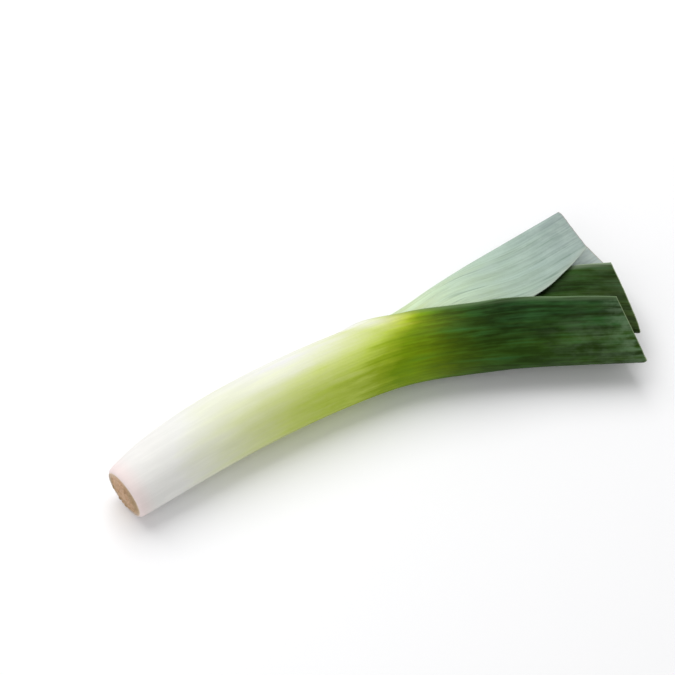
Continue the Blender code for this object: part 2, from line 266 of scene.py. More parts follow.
def half_section(leaf, s, half, share):
    """Half a cross-section, from the midrib to a margin: points, outward directions, wall and the half's width."""
    radius = float(ring_radius(leaf.ring, s))
    past = s - leaf.mouth
    unrolled, folded = between(s, leaf.unrolls), between(s, leaf.folds)
    notched = 1.0 - (1.0 - min(max(past / leaf.notch, 0.0), 1.0)) ** 2
    along = min(max(past / (leaf.end - leaf.mouth), 0.0), 1.0)
    blade = leaf.foot_widths[half] + (leaf.cut_widths[half] - leaf.foot_widths[half]) * along ** leaf.taper
    width = math.pi * radius * (1.0 - notched) + blade * notched

    quarter = radius * math.pi / 2
    bend = quarter + (leaf.crease - quarter) * folded
    total = math.pi / 2 - math.radians(leaf.leans[half]) * folded
    d = np.linspace(0.0, width, SECTION_STEPS + 1)
    u = np.clip(d / bend, 0.0, 1.0)
    turned = total * (u + u * (1.0 - u) * folded)
    turning = (1.0 - unrolled) * d / radius + unrolled * turned
    middle = (turning[1:] + turning[:-1]) / 2
    step = width / SECTION_STEPS
    to_midrib = radius - np.concatenate([[0.0], np.cumsum(np.sin(middle)) * step])
    height = np.concatenate([[0.0], np.cumsum(np.cos(middle)) * step])

    to_midrib, height, turning = (np.interp(share * width, d, v) for v in (to_midrib, height, turning))
    sign = 1 - 2 * half
    wave = leaf.wave * unrolled * share ** 2 * math.sin(2 * math.pi * s / WAVE_LENGTH + leaf.wave_phase + sign)
    points = np.stack([to_midrib, sign * height + wave], axis=1)
    outward = np.stack([np.cos(turning), sign * np.sin(turning)], axis=1)
    blade_wall = np.interp(share, WALL_SHARES, (MIDRIB_WALL, BLADE_WALL, BLADE_WALL, MARGIN_WALL))
    return points, outward, SHEATH_WALL + (blade_wall - SHEATH_WALL) * unrolled, width


def wrapped(grid):
    """A grid of rings, with its first column again at its end."""
    return np.concatenate([grid, grid[:, :1]], axis=1)


def strip_map(along, across, base):
    """Places in the bake's map for a strip whose points lie at these distances along and across it."""
    return np.stack([BAKE_MARGIN + along / BAKE_SPAN * BAKE_SHARE, base + across / BAKE_SPAN * BAKE_SHARE], axis=-1)


def ring_maps(stations, count, radius, base):
    """Coordinates for a grid of rings, one row for each station."""
    turn = np.linspace(-math.pi, math.pi, count + 1)
    s, a = np.meshgrid(stations, turn * radius, indexing="ij")
    return {"Leaf": np.stack([s, a], axis=-1), "Edge": np.full((*s.shape, 2), NO_EDGE),
            "OFBake": strip_map(s, a, base)}


def disc_maps(places, base):
    """Coordinates for rings of points at these places on a disc."""
    return {"Leaf": places, "Edge": np.full(places.shape, NO_EDGE),
            "OFBake": np.stack([DISC_MIDDLE + places[..., 0] / DISC_SPAN, base + places[..., 1] / DISC_SPAN], axis=-1)}


def new_object(name, data):
    """An object with this data, in the scene."""
    obj = bpy.data.objects.new(name, data)
    bpy.context.scene.collection.objects.link(obj)
    return obj


class Surface:
    """Patches of quads that share their points, with coordinates at each corner."""
    MAPS = ("Leaf", "Edge", "OFBake")

    def __init__(self):
        self.points, self.count, self.quads, self.slots = [], 0, [], []
        self.maps = {name: [] for name in self.MAPS}

    def add_points(self, points):
        """Adds an array of points, and gives the numbers that they get."""
        flat = np.asarray(points, float).reshape(-1, 3)
        self.points.append(flat)
        numbers = self.count + np.arange(len(flat))
        self.count += len(flat)
        return numbers.reshape(np.shape(points)[:-1])

    def add_patch(self, numbers, slot, **maps):
        """Adds a grid of quads. Each map gives two values for each point of the grid."""
        def corners(grid):
            cells = np.stack([grid[:-1, :-1], grid[1:, :-1], grid[1:, 1:], grid[:-1, 1:]], axis=2)
            return cells.reshape(-1, 4, *grid.shape[2:])
        made = corners(np.asarray(numbers))
        self.quads.append(made)
        self.slots.append(np.full(len(made), slot))
        for name in self.MAPS:
            self.maps[name].append(corners(maps[name]))

    def add_disc(self, rings, places, slot, base):
        """Adds rings of points that lie at these places on a disc."""
        maps = disc_maps(places, base)
        self.add_patch(wrapped(rings), slot, **{name: wrapped(grid) for name, grid in maps.items()})

    def add_fan(self, ring, middle, places, slot, base):
        """Closes a ring of points on a disc round the disc's middle point."""
        rings = np.stack([np.full(len(ring), middle), ring])
        self.add_disc(rings, np.stack([np.zeros_like(places), places]), slot, base)

    def make(self, name, materials):
        """The named object."""
        points, quads = np.concatenate(self.points), np.concatenate(self.quads)
        slots = np.concatenate(self.slots)
        mesh = bpy.data.meshes.new(name)
        faces = [tuple(dict.fromkeys(q)) for q in quads.tolist()]
        mesh.from_pydata(points.tolist(), [], faces)
        keep = np.concatenate([[q.index(v) for v in face] for q, face in zip(quads.tolist(), faces)])
        row = np.repeat(np.arange(len(faces)), [len(face) for face in faces])
        for layer_name in self.MAPS:
            values = np.concatenate(self.maps[layer_name])[row, keep]
            layer = mesh.uv_layers.new(name=layer_name)
            layer.data.foreach_set("uv", values.astype(np.float32).ravel())
        for material in materials:
            mesh.materials.append(material)
        mesh.polygons.foreach_set("material_index", slots.astype(np.int32))
        bm = bmesh.new()
        bm.from_mesh(mesh)
        bmesh.ops.recalc_face_normals(bm, faces=bm.faces)
        bm.to_mesh(mesh)
        bm.free()
        mesh.shade_smooth()
        mesh.set_sharp_from_angle(angle=math.radians(SHARP_ANGLE))
        return new_object(name, mesh)


def stations_of(leaf):
    """The rows of a leaf's mesh, and how many of them are closed rings."""
    closed = [s for s in LIP_ROWS if leaf.begins == 0.0]
    first = closed[-1] if closed else leaf.begins
    count = round((leaf.mouth - first) / SHEATH_ROW_STEP)
    closed = closed[:-1] + list(np.linspace(first, leaf.mouth, count + 1))
    count = round((leaf.end - leaf.mouth) / BLADE_ROW_STEP)
    opened = list(np.linspace(leaf.mouth, leaf.end, count + 1)[1:-1])
    return closed + opened + [leaf.end - LAST_ROW, leaf.end], len(closed)


def build_leaf(leaf, materials):
    """A leaf's fine mesh: its outer and inner faces, rounded margins and cut ends."""
    spine = Spine(leaf.path)
    stations, closed = stations_of(leaf)
    even = np.arange(HALF_COLUMNS + 1) / HALF_COLUMNS
    phase = leaf.ring * RING_PHASE
    outer, inner, arcs, reached, margins = [], [], [], [], []
    for s in stations:
        along = max(s - leaf.mouth, 0.0) / (leaf.end - leaf.mouth)
        share = even ** (1.0 + MIDRIB_CROWDING * along)
        share[-2] = 1.0 - (1.0 - share[-2]) * LAST_COLUMN
        free = rising(s - leaf.mouth, *RELIEF_RISE)
        sides = []
        for half in (1, 0):
            flat, outward, wall, width = half_section(leaf, s, half, share)
            here = s - leaf.cut_slopes[half] * leaf.cut_widths[half] * share * along ** 2
            x, y, heading = spine.at(here)
            axis_height = shaft_radius(here) - SINK + leaf.rise * between(s, leaf.folds)
            side_x, side_y = -leaf.side * np.sin(heading), leaf.side * np.cos(heading)
            point = np.stack([x + side_x * flat[:, 0], y + side_y * flat[:, 0], axis_height + flat[:, 1]], axis=1)
            out = np.stack([side_x * outward[:, 0], side_y * outward[:, 0], outward[:, 1]], axis=1)
            sign = 1 - 2 * half
            arc = sign * share * width
            ribs = sum(h * np.sin(2 * math.pi * (arc / gap + here * drift / RIB_DRIFT_LENGTH) + phase + k)
                       for k, (h, gap, drift) in enumerate(RIBS))
            dents = sum(h * np.sin(2 * math.pi * (here / run + arc / over) + phase * 2 + k)
                        for k, (h, over, run) in enumerate(DENTS))
            moved = free * (ribs * rising(share, *RIBS_RISE) + dents * rising(share, *DENTS_RISE))
            if leaf.ring == 0 and half == 1:
                moved = moved * UNDERSIDE_RELIEF - UNDERSIDE_INSET * free
            to_margin = (1.0 - share) * width
            thinning = MARGIN_THINNING * between(s, (leaf.mouth, leaf.mouth + THINNING_LENGTH))
            thin = 1.0 - thinning * (1.0 - smooth(to_margin / MARGIN_BAND))
            lip = ROOT_LIP_ROUNDING * max(1.0 - s / ROOT_LIP_LENGTH, 0.0) ** 2 if leaf.ring == 0 else 0.0
            surface = point + out * (moved - lip)[:, None]
            inside = point + out * (moved - wall * thin)[:, None]
            surface[:, 2] = surface[:, 2].clip(min=0.0)
            inside[:, 2] = inside[:, 2].clip(min=LOWEST_INSIDE)
            before = max(leaf.mouth - s, 0.0)
            sides.append((surface, inside, arc, here, np.hypot(to_margin, before)))
        for store, low, high in zip((outer, inner, arcs, reached, margins), sides[0], sides[1]):
            store.append(np.concatenate([low[:0:-1], high]))
    outer, inner, arcs, reached, margins = map(np.array, (outer, inner, arcs, reached, margins))
    rows, columns = arcs.shape
    down = np.repeat(np.array(stations)[:, None], columns, axis=1)

    surface = Surface()
    out, ins = surface.add_points(outer), surface.add_points(inner)
    for grid in (out, ins):
        grid[:closed, -1] = grid[:closed, 0]
    leaf_map = np.stack([reached, arcs], axis=-1)
    edge_map = np.stack([margins, leaf.end - down], axis=-1)
    for grid, slot, base in ((out, SKIN, OUTER_BASE), (ins, INSIDE, INNER_BASE)):
        surface.add_patch(grid, slot, Leaf=leaf_map, Edge=edge_map, OFBake=strip_map(down, arcs, base))

    # Rounded rims along the two margins, which start from one point where the sheath opens
    rims = []
    for j, beside in ((0, 1), (columns - 1, columns - 2)):
        tangent = outer[:, j] - outer[:, beside]
        tangent /= np.linalg.norm(tangent, axis=1)[:, None]
        thick = np.linalg.norm(outer[:, j] - inner[:, j], axis=1)[:, None]
        rims.append((outer[:, j] + inner[:, j]) / 2 + tangent * thick * RIM_BULGE)
    rims[0][closed - 1] = rims[1][closed - 1] = (outer[closed - 1, 0] + inner[closed - 1, 0]) / 2
    open_rows = slice(closed - 1, rows)
    low = surface.add_points(rims[0][open_rows])
    high = surface.add_points(rims[1][open_rows])
    high[0] = low[0]
    for j, rim, base in ((0, low, RIM_BASES[0]), (columns - 1, high, RIM_BASES[1])):
        grid = np.stack([out[open_rows, j], rim, ins[open_rows, j]], axis=1)
        here, arc = (np.repeat(values[open_rows, j][:, None], 3, axis=1) for values in (down, arcs))
        across = np.array([-RIM_REACH, 0.0, RIM_REACH]) + 0 * here
        surface.add_patch(grid, SKIN, Leaf=np.stack([here, arc], axis=-1),
                          Edge=np.stack([0 * here, leaf.end - here], axis=-1), OFBake=strip_map(here, across, base))

    middle = (outer[-1, 1:-1] + inner[-1, 1:-1]) / 2
    ids = np.concatenate([[low[-1]], surface.add_points(middle), [high[-1]]])
    ends = ((np.stack([out[-1], ids, ins[-1]]), CUT, arcs[-1], (-CUT_REACH, 0.0, CUT_REACH), CUT_BASE),
            (np.stack([out[0], ins[0]]), ROOT_END, arcs[0], (-ROOT_END_REACH, ROOT_END_REACH), ROOT_END_BASE))
    for grid, slot, arc, depths, base in ends:
        arc = np.repeat(arc[None], len(depths), axis=0)
        depth = np.array(depths)[:, None] + 0 * arc
        surface.add_patch(grid, slot, Leaf=np.stack([depth, arc], axis=-1),
                          Edge=np.stack([depth + depths[-1], 0 * depth], axis=-1),
                          OFBake=strip_map(arc + CUT_SHIFT, depth, base))
    return surface.make(leaf.name + "_fine", materials)


def build_heart(materials):
    """The youngest leaves, still rolled: a roll with the wrapped margins as shallow grooves, and a narrow tip."""
    spine = Spine(HEART_PATH)
    turn = np.linspace(-math.pi, math.pi, HEART_SIDES + 1)[:-1]
    stations = list(np.linspace(INNER_SHEATHS_BEGIN, HEART_NARROWS_FROM, HEART_ROLL_ROWS)[:-1])
    stations += list(np.linspace(HEART_NARROWS_FROM, HEART_TIP, HEART_TIP_ROWS))
    rows = []
    for s in stations:
        narrowed = between(s, (HEART_NARROWS_FROM, HEART_TIP))
        radius = float(ring_radius(HEART_RING, s))
        half_height = radius + (HEART_TIP_THICKNESS / 2 - radius) * narrowed
        half_width = radius + (HEART_TIP_WIDTH / 2 - radius) * narrowed ** 2
        x, y, heading = spine.at(s)
        height = float(shaft_radius(s)) - SINK
        groove = 1.0
        for wound, depth in HEART_GROOVES:
            away = (turn - wound - (s - HEART_NARROWS_FROM) * GROOVE_TWIST + math.pi) % (2 * math.pi) - math.pi
            groove = groove - depth * np.exp(-(away / GROOVE_WIDTH) ** 2) * rising(s, *GROOVES_RISE)
        groove = groove - HEART_RIDGE_DEPTH * (1 + np.cos(turn * HEART_RIDGES)) / 2
        aside, up = half_width * np.cos(turn) * groove, half_height * np.sin(turn) * groove
        rows.append(np.stack([x - math.sin(heading) * aside, y + math.cos(heading) * aside, height + up], axis=1))
    surface = Surface()
    rows = np.array(rows)
    ids = surface.add_points(rows)
    surface.add_patch(wrapped(ids), HEART_SKIN, **ring_maps(stations, HEART_SIDES, HEART_MAP_RADIUS, HEART_BASE))
    circle = np.stack([np.cos(turn), np.sin(turn)], axis=1)
    for k, base in zip((0, -1), HEART_END_BASES):
        ring, centre = ids[k], rows[k].mean(axis=0)
        for before, part in HEART_END_RINGS:
            inner = surface.add_points(centre + (rows[k] - centre) * part)
            places = np.stack([circle * before, circle * part]) * HEART_END_MAP_RADIUS
            surface.add_disc(np.stack([ring, inner]), places, HEART_CUT, base)
            ring = inner
        middle = surface.add_points(centre[None])[0]
        surface.add_fan(ring, middle, places[1], HEART_CUT, base)
    return surface.make("heart_leaves_fine", materials)


def root_stubs():
    """Places of the trimmed roots on the plate's face, evenly scattered round it."""
    rng = np.random.default_rng(ROOT_SEED)
    golden = math.pi * (3.0 - math.sqrt(5.0))
    low, high = ROOT_STUB_RING
    radii = np.sqrt(np.linspace(low ** 2, high ** 2, ROOT_STUBS))
    radii += rng.uniform(-STUB_SCATTER, STUB_SCATTER, ROOT_STUBS)
    turns = golden * np.arange(ROOT_STUBS) + rng.uniform(-STUB_TURN_SCATTER, STUB_TURN_SCATTER, ROOT_STUBS)
    return np.stack([radii * np.cos(turns), radii * np.sin(turns)], axis=1)


def build_root_plate(materials):
    """The root plate: a domed, creased disc with the cut stubs of its roots."""
    spine, stubs, surface = Spine(HEART_PATH), root_stubs(), Surface()
    turn = np.linspace(-math.pi, math.pi, PLATE_SIDES + 1)[:-1]
    rng = np.random.default_rng(ROOT_SEED + 1)
    phases = rng.uniform(0, 2 * math.pi, GRAIN_WAVES)

    def edge_radius(s):
        return float(ring_radius(0, s)) - SHEATH_WALL - PLATE_GAP

    def place(s, aside, up):
        x, y, heading = spine.at(s)
        height = shaft_radius(np.maximum(s, 0.0)) - SINK
        return np.stack([x - np.sin(heading) * aside, y + np.cos(heading) * aside, height + up], axis=-1)

    def add_on_axis(s):
        return surface.add_points(place(np.array([s]), np.zeros(1), np.zeros(1)))[0]

    def raised(aside, up):
        near = np.sqrt((stubs[:, 0, None] - aside) ** 2 + (stubs[:, 1, None] - up) ** 2) / ROOT_STUB_RADIUS
        stub = 1.0 - rising(near, *STUB_EDGE)
        dished = STUB_DISH * (1.0 - smooth(near / STUB_DISH_RADIUS))
        return ROOT_STUB_HEIGHT * ((stub - dished) * smooth(stub * 4)).max(axis=0)

    face, places = [], []
    for part in np.linspace(0.0, 1.0, PLATE_RINGS + 1)[1:]:
        radius = edge_radius(PLATE_RECESS) * part
        aside, up = radius * np.cos(turn), radius * np.sin(turn)
        grain = sum(GRAIN_HEIGHT * np.sin(GRAIN_FINENESS * (aside * math.cos(p) + up * math.sin(p)) + 3 * p)
                    for p in phases)
        creases = CREASE_HEIGHT * np.sin(part * CREASE_FINENESS + 0.8 * np.sin(turn * 3 + 1))
        dome = PLATE_RECESS - PLATE_DOME * (1.0 - part ** 2)
        depth = dome + (grain + creases) * (1 - part ** 6) - raised(aside, up)
        face.append(place(depth, aside, up))
        places.append(np.stack([aside, up], axis=1))
    ids = surface.add_points(np.array(face))
    surface.add_disc(ids, np.array(places), PLATE_FACE, PLATE_FACE_BASE)
    middle = add_on_axis(PLATE_RECESS - PLATE_DOME - float(raised(np.zeros(1), np.zeros(1))[0]))
    surface.add_fan(ids[0], middle, places[0], PLATE_FACE, PLATE_FACE_BASE)

    wall = [place(s + 0 * turn, edge_radius(s) * np.cos(turn), edge_radius(s) * np.sin(turn)) for s in PLATE_ROWS[1:]]
    grid = np.concatenate([ids[-1:], surface.add_points(np.array(wall))])
    maps = ring_maps(PLATE_ROWS, PLATE_SIDES, PLATE_MAP_RADIUS, PLATE_SIDE_BASE)
    surface.add_patch(wrapped(grid), PLATE_SIDE, **maps)
    back_places = np.stack([np.cos(turn), np.sin(turn)], axis=1) * PLATE_MAP_RADIUS
    surface.add_fan(grid[-1], add_on_axis(PLATE_THICKNESS), back_places, PLATE_SIDE, PLATE_BACK_BASE)
    return surface.make("root_plate_fine", materials)


# Materials. Their lengths are in millimetres.

MILLIMETRES = 1000.0                 # in a metre
VEIN_SPACING = 1.55
LEAF_SPAN = 300.0                    # length of a leaf's ramp of colours
HEART_SPAN = 220.0
YELLOWER = (1.28, 1.08, 0.55, 1.0)
BLUER = (0.82, 0.96, 1.42, 1.0)
BLUSH = (252, 192, 192)


def rgb(red, green, blue):
    """A colour on a scale of 0 to 255, as the eye reads it, for a shader."""
    part = np.array([red, green, blue]) / 255.0
    return (*np.where(part <= 0.04045, part / 12.92, ((part + 0.055) / 1.055) ** 2.4).tolist(), 1.0)


class Graph:
    """A material's nodes."""

    def __init__(self, name):
        self.material = bpy.data.materials.new(name)
        self.material.use_nodes = True
        self.tree = self.material.node_tree
        self.shader = self.tree.nodes["Principled BSDF"]

    def put(self, socket, value):
        if isinstance(value, bpy.types.NodeSocket):
            self.tree.links.new(value, socket)
        else:
            socket.default_value = value

    def node(self, kind, inputs=(), **settings):
        made = self.tree.nodes.new("ShaderNode" + kind)
        for key, value in settings.items():
            setattr(made, key, value)
        for key, value in dict(inputs).items():
            self.put(made.inputs[key], value)
        return made

    def map(self, name):
        """The two values of a map, in millimetres."""
        split = self.node("SeparateXYZ", {0: self.node("UVMap", uv_map=name).outputs[0]})
        return self.times(split.outputs[0], MILLIMETRES), self.times(split.outputs[1], MILLIMETRES)

    def math(self, operation, a, b=0.0):
        return self.node("Math", {0: a, 1: b}, operation=operation).outputs[0]

    def times(self, a, b):
        return self.math("MULTIPLY", a, b)

    def plus(self, a, b):
        return self.math("ADD", a, b)

    def weighted(self, *parts):
        """The sum of values, each times its weight."""
        total, *rest = (self.times(value, weight) for value, weight in parts)
        for part in rest:
            total = self.plus(total, part)
        return total

    def centred(self, noise):
        """Noise that runs from -0.5 to 0.5."""
        return self.plus(noise, -0.5)

    def step(self, value, low, high, start=0.0, end=1.0):
        """Runs smoothly from start to end as value goes from low to high."""
        inputs = {"Value": value, "From Min": low, "From Max": high, "To Min": start, "To Max": end}
        return self.node("MapRange", inputs, interpolation_type="SMOOTHSTEP").outputs[0]

    def noise(self, x, y, length, width, seed, detail, roughness=0.5):
        """Noise whose spots have this length along x and this width along y."""
        place = self.node("CombineXYZ", {0: self.times(x, 1 / length), 1: self.times(y, 1 / width), 2: seed})
        inputs = {"Vector": place.outputs[0], "Scale": 1.0, "Detail": detail, "Roughness": roughness}
        return self.node("TexNoise", inputs).outputs[0]

    def ramp(self, value, stops):
        """Colours at values between 0 and 1."""
        made = self.node("ValToRGB", {0: value})
        elements = made.color_ramp.elements
        while len(elements) < len(stops):
            elements.new(1.0)
        for element, (at, colour) in zip(elements, stops):
            element.position = at
            element.color = rgb(*colour)
        return made.outputs[0]

    def mix(self, share, a, b, blend="MIX"):
        made = self.node("Mix", data_type="RGBA", blend_type=blend)
        for key, value in ((0, share), (6, a), (7, b)):
            self.put(made.inputs[key], value)
        return made.outputs[2]

    def dim(self, colour, factor):
        return self.node("VectorMath", {0: colour, "Scale": factor}, operation="SCALE").outputs[0]

    def finish(self, colour, roughness, bump=None, **constants):
        """The material. A bump is a height between 0 and about 1, the distance that 1 stands for, and a strength."""
        self.put(self.shader.inputs["Base Color"], colour)
        self.put(self.shader.inputs["Roughness"], roughness)
        if bump:
            made = self.node("Bump", dict(zip(("Height", "Distance", "Strength"), bump)))
            self.put(self.shader.inputs["Normal"], made.outputs[0])
        for key, value in constants.items():
            self.shader.inputs[key.replace("_", " ")].default_value = value
        return self.material


@dataclass
class Skin:
    """How a leaf's surface is coloured. Stops are (station, colour) along the keel side of the leaf."""
    stops: tuple
    streaks: float                   # strength of the long streaks
    veins: float
    margin: tuple                    # colour of the margins, a painted highlight along their edges
    seed: float
    margin_share: float = 0.5
    patches: float = 0.5             # strength of the blotches
    keel: float = 0.0                # how much lighter the blade is painted along its midrib, painted light where the fold's lower side is in shade
    warmth: float = 0.0              # strength of the change from yellower to bluer green
    cool: float = 0.8                # how much bluer the margins are than the midrib's side
    rosy: float = 0.0                # strength of the blush at the root end
    dark: tuple = ()                 # colour of the darker streaks
    dark_share: float = 0.0
    bloom: tuple = ()                # colour of the wax
    bloom_share: float = 0.0         # how much of it there is
    bloom_from: float = 170.0        # station where it starts
    bloom_at_margin: float = 1.0     # how much of it is left near the margins
    frost: float = 0.0               # strength of the pale flecks near the cut
    cut: tuple = (150, 168, 120)
    across: bool = False             # whether the mouth's side of the sheath stays paler
    rough: tuple = (0.38, 0.55)
    shine: float = 0.35


def skin_material(name, skin):
    """Fine veined leaf skin."""
    g = Graph(name)
    s, arc = g.map("Leaf")
    to_margin, to_cut = g.map("Edge")
    spread = g.math("ABSOLUTE", arc)
    seed = skin.seed

    # Noise, most of it along a grain that wanders a little
    wander = g.noise(s, arc, 130, 14, seed, 1.0)
    bent = g.plus(arc, g.times(wander, 2.5))
    broad = g.noise(s, bent, 150, 3.6, seed + 7.7, 2.0)
    mid = g.noise(s, bent, 42, 1.7, seed + 23.0, 1.0, 0.6)
    fine = g.noise(s, bent, 75, 0.75, seed + 3.1, 3.0, 0.6)
    patch = g.noise(s, bent, 25, 5.4, seed + 37.0, 3.0, 0.6)
    blot = g.noise(s, arc, 11, 6.5, seed + 11.3, 4.0, 0.62)
    speck = g.noise(s, arc, 1.6, 1.1, seed + 17.9, 3.0, 0.6)
    vein = g.math("SINE", g.times(bent, 2 * math.pi / VEIN_SPACING))

    # The colour goes by the station, which shifts across the leaf and from spot to spot
    place = s
    if skin.across:
        pale = g.times(g.step(s, 48.0, 112.0), g.step(s, 126.0, 200.0, 1.0, 0.0))
        pale = g.times(g.step(spread, 13.0, 41.0, 0.0, -60.0), pale)
        ripe = g.times(g.step(spread, 13.0, 41.0, 18.0, 0.0), g.step(s, 100.0, 136.0, 1.0, 0.0))
        band = g.times(g.step(to_margin, 2.0, 13.0, -48.0, 0.0), g.step(s, 148.0, 186.0, 1.0, 0.0))
        place = g.plus(g.plus(place, pale), g.plus(ripe, band))
    place = g.plus(place, g.times(g.centred(broad), g.step(s, 30.0, 120.0, 14.0, 34.0)))
    place = g.plus(place, g.times(g.centred(blot), 12.0))
    place = g.plus(place, g.times(g.centred(patch), g.step(s, 55.0, 115.0, 0.0, 34.0)))
    colour = g.ramp(g.times(place, 1 / LEAF_SPAN), [(at / LEAF_SPAN, tint) for at, tint in skin.stops])

    # Streaks, blotches, veins and specks, mostly in the green, and painted light along the midrib
    green = g.step(s, 140.0, 215.0)
    strength = g.plus(g.times(green, skin.streaks), 0.04)
    uneven = g.plus(g.times(mid, 1.1), g.plus(g.times(broad, 0.8), -0.95))
    uneven = g.math("MAXIMUM", g.plus(uneven, g.times(g.centred(patch), skin.patches)), -0.2)
    shade = g.plus(1.0, g.times(uneven, g.times(strength, 2.0)))
    shade = g.plus(shade, g.times(g.times(vein, green), skin.veins))
    shade = g.plus(shade, g.times(g.centred(speck), g.step(s, 60.0, 170.0, 0.03, 0.10)))
    # Painted light: the blade is painted lighter along its midrib, where its fold's lower side lies in shade
    if skin.keel:
        keel = g.times(g.step(spread, 9.0, 21.0, skin.keel, 0.0), g.step(s, 140.0, 178.0))
        shade = g.plus(shade, g.times(keel, g.step(s, 232.0, 275.0, 1.0, 0.25)))
    colour = g.dim(colour, shade)

    if skin.warmth:
        cool = g.times(g.times(g.step(spread, 6.0, 34.0), g.step(s, 165.0, 215.0)), skin.cool)
        cool = g.plus(cool, g.times(g.plus(g.plus(mid, patch), -1.0), 2.2))
        tinted = g.mix(1.0, colour, g.mix(cool, YELLOWER, BLUER), "MULTIPLY")
        colour = g.mix(g.times(g.step(s, 150.0, 200.0), skin.warmth), colour, tinted)
    if skin.rosy:
        colour = g.mix(g.times(g.step(s, 0.0, 11.0, 0.24, 0.0), skin.rosy), colour, rgb(*BLUSH))
    if skin.dark_share:
        lane = g.noise(s, bent, 46, 2.0, seed + 29.0, 2.0, 0.55)
        lines = g.times(g.step(g.weighted((lane, 0.8), (fine, 0.2)), 0.46, 0.33), g.step(spread, 8.0, 20.0, 0.15))
        colour = g.mix(g.times(g.times(lines, skin.dark_share), g.step(s, 150.0, 200.0)), colour, rgb(*skin.dark))
    if skin.bloom_share:
        wax = g.times(g.step(g.weighted((blot, 0.65), (fine, 0.35)), 0.40, 0.66), skin.bloom_share)
        wax = g.times(wax, g.step(spread, 14.0, 32.0, 1.0, skin.bloom_at_margin))
        wax = g.times(wax, g.step(s, skin.bloom_from, skin.bloom_from + 50.0))
        colour = g.mix(wax, colour, rgb(*skin.bloom))
    if skin.frost:
        flecks = g.times(g.step(g.weighted((blot, 0.6), (mid, 0.4)), 0.44, 0.62), skin.frost)
        colour = g.mix(g.times(flecks, g.step(to_cut, 2.0, 17.0, 1.0, 0.0)), colour, rgb(*skin.bloom))

    # Paler margins, a painted highlight along each margin's edge, and the cut's own colour
    edge = g.plus(g.step(to_margin, 0.1, 0.8, 0.5, 0.0), g.step(to_margin, 0.6, 3.2, 0.5, 0.0))
    edge = g.times(edge, g.step(s, 140.0, 175.0))
    edge = g.times(edge, g.times(g.step(mid, 0.25, 0.6, 0.5, 1.0), skin.margin_share))
    colour = g.mix(edge, colour, rgb(*skin.margin))
    colour = g.mix(g.times(g.step(to_cut, 0.15, 0.7, 1.0, 0.0), 0.75), colour, rgb(*skin.cut))

    low, high = skin.rough
    roughness = g.plus(g.times(g.weighted((blot, 0.6), (fine, 0.4)), high - low), low)
    height = g.weighted((vein, g.step(s, 20.0, 160.0, 0.10, 0.30)), (fine, 0.8), (speck, 0.35), (blot, 0.8))
    return g.finish(colour, roughness, (height, 0.00012, 0.5), IOR=1.42, Specular_IOR_Level=skin.shine)


def cut_material(name, inner, skin_tint):
    """A fresh knife cut: pale, moist tissue between two thin green skins, with the veins' ends as dots."""
    g = Graph(name)
    depth, arc = g.map("Leaf")
    cells = g.noise(arc, depth, 0.5, 0.5, 2.0, 3.0)
    dots = g.math("SINE", g.times(arc, 2 * math.pi / VEIN_SPACING))
    colour = g.mix(g.step(g.math("ABSOLUTE", depth), 0.25, 0.5), rgb(*inner), rgb(*skin_tint))
    colour = g.dim(colour, g.plus(g.plus(0.75, g.times(cells, 0.5)), g.times(dots, 0.08)))
    height = g.plus(cells, g.times(dots, 0.3))
    return g.finish(colour, g.plus(0.3, g.times(cells, 0.3)), (height, 0.0002, 0.6), Specular_IOR_Level=0.45)


def heart_material(name):
    """Tender pale leaves, yellow-green towards the tip."""
    g = Graph(name)
    s, arc = g.map("Leaf")
    fine = g.noise(s, arc, 60, 0.8, 4.0, 3.0)
    blot = g.noise(s, arc, 12, 5, 9.0, 3.0)
    place = g.plus(s, g.times(g.centred(fine), 30.0))
    colour = g.ramp(g.times(place, 1 / HEART_SPAN),
                    [(0.2, (238, 237, 218)), (0.55, (226, 228, 168)), (0.72, (206, 214, 108)),
                     (0.86, (178, 196, 70)), (1.0, (150, 176, 62))])
    colour = g.dim(colour, g.plus(0.86, g.times(g.plus(fine, blot), 0.14)))
    height = g.plus(fine, g.times(blot, 0.5))
    return g.finish(colour, g.plus(0.32, g.times(blot, 0.2)), (height, 0.00015, 0.5), Specular_IOR_Level=0.4)


def root_material(name, tints, dark, rim):
    """Dry corky tissue with darker rings and scars, darker at its two sides and towards the bottom, and a pale rim."""
    g = Graph(name)
    aside, up = g.map("Leaf")
    radius = g.math("SQRT", g.plus(g.times(aside, aside), g.times(up, up)))
    grain = g.noise(aside, up, 0.9, 0.9, 1.0, 5.0, 0.65)
    patch = g.noise(aside, up, 5.0, 5.0, 6.0, 3.0)
    rings = g.math("SINE", g.plus(g.times(radius, 2 * math.pi / 1.9), g.times(patch, 7.0)))
    colour = g.ramp(g.weighted((patch, 0.55), (grain, 0.45)), list(zip((0.3, 0.5, 0.7), tints)))
    colour = g.mix(g.times(g.step(grain, 0.46, 0.30), 0.55), colour, rgb(*dark))
    sides = g.step(g.math("ABSOLUTE", g.weighted((aside, 0.88), (up, -0.47))), 4.0, 11.0, 0.0, 0.55)
    colour = g.mix(g.plus(sides, g.step(up, -9.0, 2.0, 0.3, 0.0)), colour, rgb(*dark))
    colour = g.mix(g.times(g.step(radius, 10.4, 12.9), g.step(grain, 0.25, 0.6, 0.35)), colour, rgb(*rim))
    colour = g.dim(colour, g.plus(1.0, g.times(rings, 0.06)))
    height = g.plus(grain, g.times(rings, 0.12))
    return g.finish(colour, g.plus(0.6, g.times(grain, 0.3)), (height, 0.0005, 0.8), Specular_IOR_Level=0.3)


